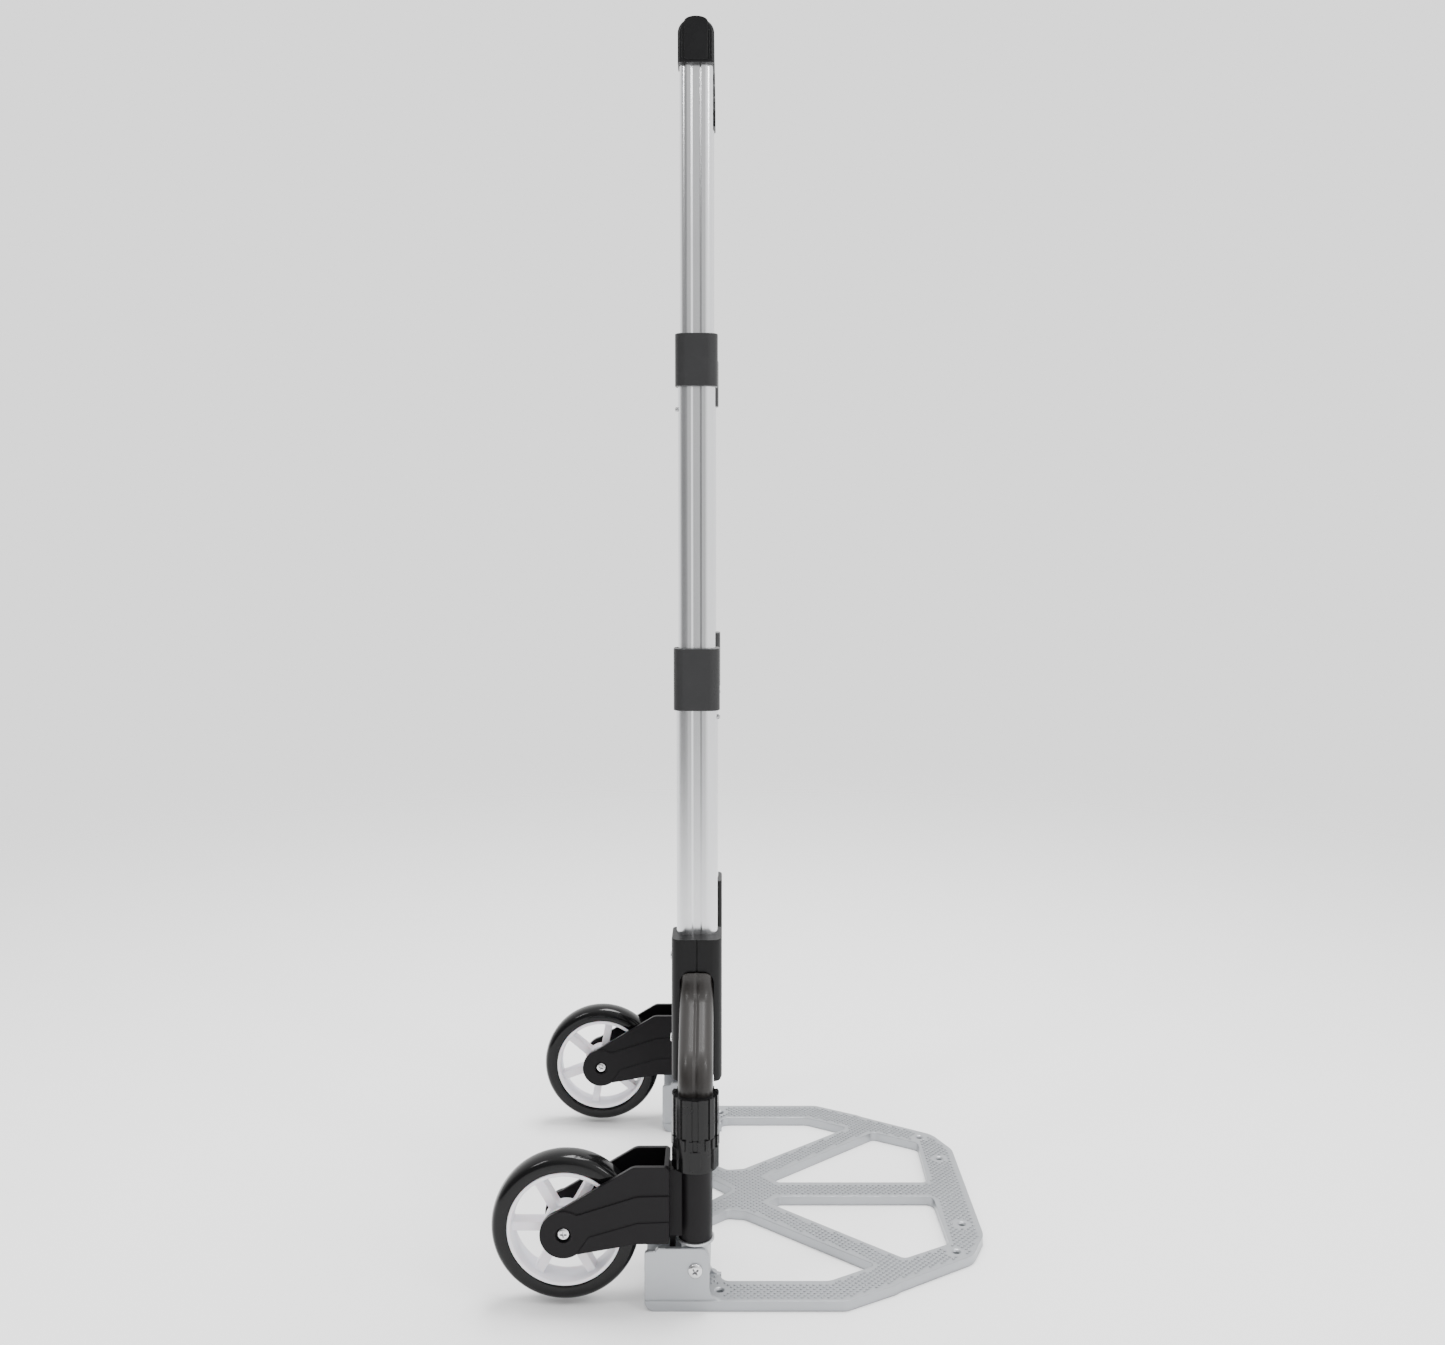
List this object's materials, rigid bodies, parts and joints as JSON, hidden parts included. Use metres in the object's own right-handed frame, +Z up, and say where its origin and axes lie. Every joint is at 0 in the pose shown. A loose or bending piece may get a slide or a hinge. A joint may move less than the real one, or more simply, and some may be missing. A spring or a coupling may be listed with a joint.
{
  "type": "folding hand truck",
  "caption": "Folding hand truck with telescoping double uprights, a moulded grip, a cut-out toe plate that folds up and wheels that swing in with it.",
  "frame": {"origin": "on the floor under the centre of the truck's overall box, with the handle pulled out and the toe plate down", "axes": "+Z up, +X towards the toe plate's front edge, so the user stands behind the wheels on -X and +Y is the user's left"},
  "size_m": [0.4392, 0.4074, 1.103],
  "materials": {
    "plate_metal": "silver-grey, satin, fine raised grip texture on top",
    "cast_metal": "as cast, satin",
    "tube_aluminium": "anodised, drawn lengthwise",
    "screw_metal": "bright plated",
    "post_steel": "turned",
    "button_metal": "satin",
    "leg_paint": "black textured powder coat",
    "bracket_plastic": "grained",
    "collar_plastic": "satin",
    "grip_plastic": "satin",
    "arm_plastic": "satin",
    "clamp_plastic": "glossy",
    "bush_plastic": "smooth",
    "hub_plastic": "smooth moulded",
    "tyre": "polished"
  },
  "bodies": {
    "frame": {"hinge_block_left": "cast_metal", "hinge_block_right": "cast_metal", "pivot_post_left": "post_steel", "pivot_post_right": "post_steel", "clamp_ring_left": "clamp_plastic", "clamp_ring_right": "clamp_plastic", "clamp_sleeve_left": "clamp_plastic", "clamp_sleeve_right": "clamp_plastic", "leg_tube_left": "leg_paint", "leg_tube_right": "leg_paint", "lower_bracket": "bracket_plastic", "bracket_screws": "screw_metal", "lower_tube_left": "tube_aluminium", "lower_tube_right": "tube_aluminium", "lower_collar": "collar_plastic"},
    "toe_plate": {"toe_plate": "plate_metal", "hinge_bolt_left": "screw_metal", "hinge_bolt_right": "screw_metal", "hinge_nut_left": "screw_metal", "hinge_nut_right": "screw_metal"},
    "wheel_arm_left": {"wheel_arm_left": "arm_plastic", "fold_dog_left": "arm_plastic", "axle_bolt_left": "screw_metal", "axle_nut_left": "screw_metal"},
    "wheel_arm_right": {"wheel_arm_right": "arm_plastic", "fold_dog_right": "arm_plastic", "axle_bolt_right": "screw_metal", "axle_nut_right": "screw_metal"},
    "wheel_left": {"tyre_left": "tyre", "wheel_hub_left": "hub_plastic", "wheel_bushes_left": "bush_plastic"},
    "wheel_right": {"tyre_right": "tyre", "wheel_hub_right": "hub_plastic", "wheel_bushes_right": "bush_plastic"},
    "middle_stage": {"middle_tube_left": "tube_aluminium", "middle_tube_right": "tube_aluminium", "middle_glide_left": "bush_plastic", "middle_glide_right": "bush_plastic", "upper_collar": "collar_plastic"},
    "upper_stage": {"upper_tube_left": "tube_aluminium", "upper_tube_right": "tube_aluminium", "upper_glide_left": "bush_plastic", "upper_glide_right": "bush_plastic", "grip": "grip_plastic", "grip_screws": "screw_metal"},
    "lower_button_left": {"lower_button_left": "button_metal"},
    "lower_button_right": {"lower_button_right": "button_metal"},
    "upper_button_left": {"upper_button_left": "button_metal"},
    "upper_button_right": {"upper_button_right": "button_metal"}
  },
  "joints": [
    {"name": "plate_fold", "type": "hinge", "parent": "frame", "child": "toe_plate", "pos_m": [-0.0451, 0, 0.035], "axis": [0, -1, 0], "range_deg": [0, 90]},
    {"name": "arm_fold_left", "type": "hinge", "parent": "frame", "child": "wheel_arm_left", "pos_m": [-0.0451, 0.1807, 0.06], "axis": [0, 0, 1], "range_deg": [0, 90]},
    {"name": "arm_fold_right", "type": "hinge", "parent": "frame", "child": "wheel_arm_right", "pos_m": [-0.0451, -0.1807, 0.06], "axis": [0, 0, -1], "range_deg": [0, 90]},
    {"name": "wheel_spin_left", "type": "hinge", "parent": "wheel_arm_left", "child": "wheel_left", "pos_m": [-0.1561, 0.1807, 0.0685], "axis": [0, 1, 0], "continuous": true},
    {"name": "wheel_spin_right", "type": "hinge", "parent": "wheel_arm_right", "child": "wheel_right", "pos_m": [-0.1561, -0.1807, 0.0685], "axis": [0, 1, 0], "continuous": true},
    {"name": "middle_slide", "type": "slide", "parent": "frame", "child": "middle_stage", "axis": [0, 0, -1], "range_m": [0, 0.231]},
    {"name": "upper_slide", "type": "slide", "parent": "middle_stage", "child": "upper_stage", "axis": [0, 0, -1], "range_m": [0, 0.232]},
    {"name": "lower_button_left_press", "type": "slide", "parent": "frame", "child": "lower_button_left", "axis": [1, 0, 0], "range_m": [-0.003, 0], "stiffness_N_per_m": 400, "springref_m": 0.002},
    {"name": "lower_button_right_press", "type": "slide", "parent": "frame", "child": "lower_button_right", "axis": [1, 0, 0], "range_m": [-0.003, 0], "stiffness_N_per_m": 400, "springref_m": 0.002},
    {"name": "upper_button_left_press", "type": "slide", "parent": "middle_stage", "child": "upper_button_left", "axis": [-1, 0, 0], "range_m": [-0.003, 0], "stiffness_N_per_m": 400, "springref_m": 0.002},
    {"name": "upper_button_right_press", "type": "slide", "parent": "middle_stage", "child": "upper_button_right", "axis": [-1, 0, 0], "range_m": [-0.003, 0], "stiffness_N_per_m": 400, "springref_m": 0.002}
  ],
  "couplings": [
    {"joint": "arm_fold_left", "follows": "plate_fold", "ratio": 1},
    {"joint": "arm_fold_right", "follows": "plate_fold", "ratio": 1}
  ]
}
